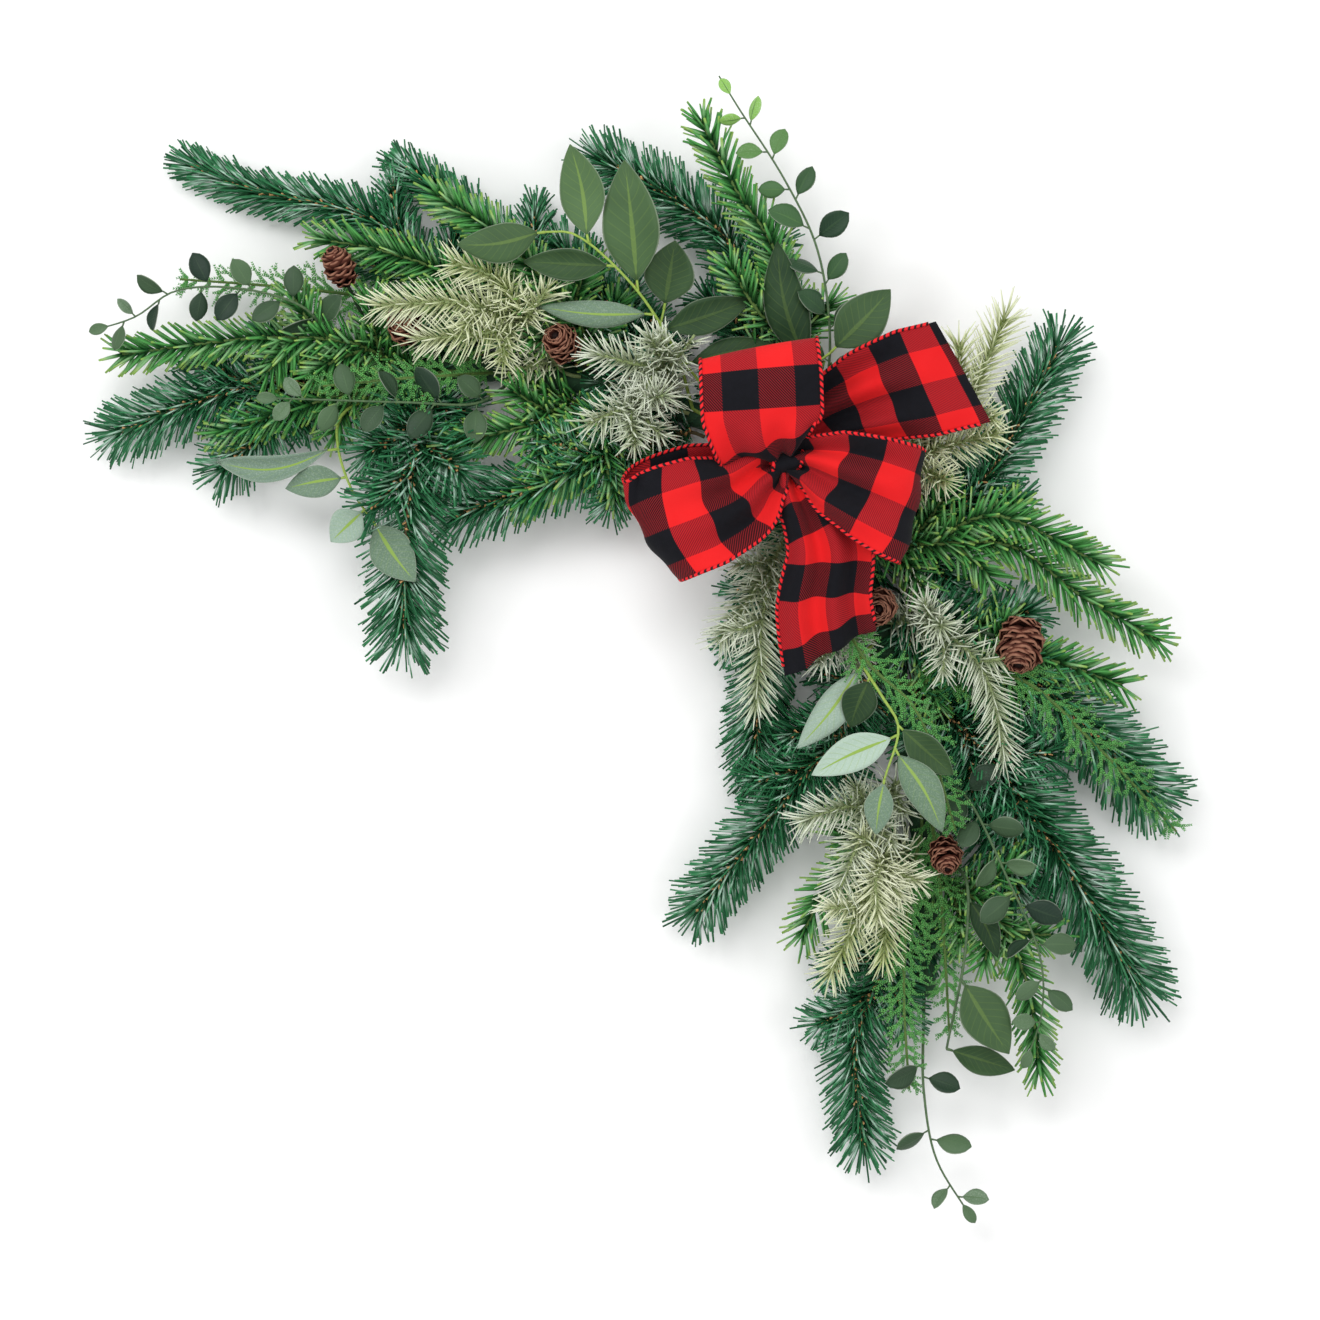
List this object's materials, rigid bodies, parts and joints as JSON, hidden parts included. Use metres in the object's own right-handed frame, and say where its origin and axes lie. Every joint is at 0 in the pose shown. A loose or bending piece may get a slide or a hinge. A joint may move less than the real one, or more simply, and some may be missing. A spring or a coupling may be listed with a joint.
{
  "type": "corner swag of artificial greenery",
  "caption": "Corner swag of artificial pine, spruce, cedar, eucalyptus and leaf sprays with cones on a bound L-shaped core, with a checked ribbon bow at its corner.",
  "frame": {"origin": "on the flat back of the core, at its corner behind the bow, on the surface that the swag lies on", "axes": "+Z out of the face towards the viewer, +X along the viewer's right, +Y upwards as the swag hangs: one arm runs to -X and the other to -Y"},
  "size_m": [0.602, 0.6303, 0.0993],
  "materials": {
    "pine": "cut film needles, slightly glossy",
    "spruce": "moulded needles, satin",
    "frosted": "moulded needles with a pale frosting, matte",
    "cedar": "moulded scales, satin",
    "eucalyptus": "moulded leaves, satin",
    "leaf": "pressed leaves with a pale midrib, satin",
    "cone": "dried cone scales, matte",
    "ribbon": "woven check with whipped edges",
    "core": "bound stems wrapped in tape, matte",
    "wire": "coated wire, satin"
  },
  "bodies": {
    "root": {"bow_ribbon": "ribbon", "bow_tie_wire": "wire", "cedar_spray_1": "cedar", "cedar_spray_2": "cedar", "cedar_spray_3": "cedar", "cedar_spray_4": "cedar", "cedar_spray_5": "cedar", "cedar_spray_6": "cedar", "cone_1": "cone", "cone_2": "cone", "cone_3": "cone", "cone_4": "cone", "cone_5": "cone", "cone_6": "cone", "core_bundle": "core", "eucalyptus_sprig_1": "eucalyptus", "eucalyptus_sprig_2": "eucalyptus", "eucalyptus_sprig_3": "eucalyptus", "eucalyptus_sprig_4": "eucalyptus", "eucalyptus_sprig_5": "eucalyptus", "frosted_pick_1": "frosted", "frosted_pick_2": "frosted", "frosted_pick_3": "frosted", "frosted_pick_4": "frosted", "frosted_pick_5": "frosted", "frosted_pick_6": "frosted", "frosted_pick_7": "frosted", "frosted_pick_8": "frosted", "frosted_pick_9": "frosted", "leaf_sprig_1": "leaf", "leaf_sprig_2": "leaf", "leaf_sprig_3": "leaf", "leaf_sprig_4": "leaf", "leaf_sprig_5": "leaf", "leaf_sprig_6": "leaf", "pine_spray_1": "pine", "pine_spray_10": "pine", "pine_spray_11": "pine", "pine_spray_12": "pine", "pine_spray_13": "pine", "pine_spray_2": "pine", "pine_spray_3": "pine", "pine_spray_4": "pine", "pine_spray_5": "pine", "pine_spray_6": "pine", "pine_spray_7": "pine", "pine_spray_8": "pine", "pine_spray_9": "pine", "spruce_spray_1": "spruce", "spruce_spray_10": "spruce", "spruce_spray_11": "spruce", "spruce_spray_2": "spruce", "spruce_spray_3": "spruce", "spruce_spray_4": "spruce", "spruce_spray_5": "spruce", "spruce_spray_6": "spruce", "spruce_spray_7": "spruce", "spruce_spray_8": "spruce", "spruce_spray_9": "spruce"}
  },
  "joints": []
}
